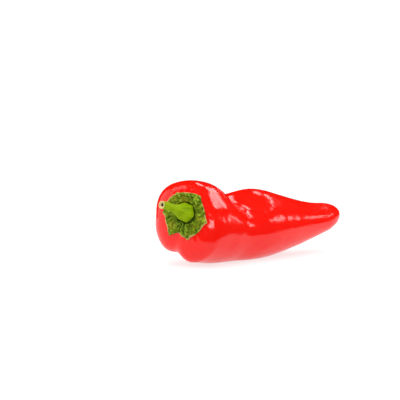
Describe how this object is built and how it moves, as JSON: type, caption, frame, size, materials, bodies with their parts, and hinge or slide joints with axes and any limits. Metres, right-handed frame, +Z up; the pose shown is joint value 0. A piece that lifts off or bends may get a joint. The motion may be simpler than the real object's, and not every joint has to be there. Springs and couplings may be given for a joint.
{
  "type": "bell pepper",
  "caption": "Long red sweet pepper lying on its belly, with a lobed stem end, a pointed blunt tip, a toothed green calyx and a cut stem.",
  "frame": {"origin": "on the surface the pepper lies on, under the middle of its bounding box", "axes": "+X from the stem end to the tip, +Z up"},
  "size_m": [0.1822, 0.0668, 0.0615],
  "materials": {
    "fruit": "glossy waxy red skin",
    "calyx": "matt veined green leaf",
    "stem": "satin lime green stalk"
  },
  "bodies": {
    "root": {"fruit": "fruit", "calyx": "calyx", "stem": "stem"}
  },
  "joints": []
}
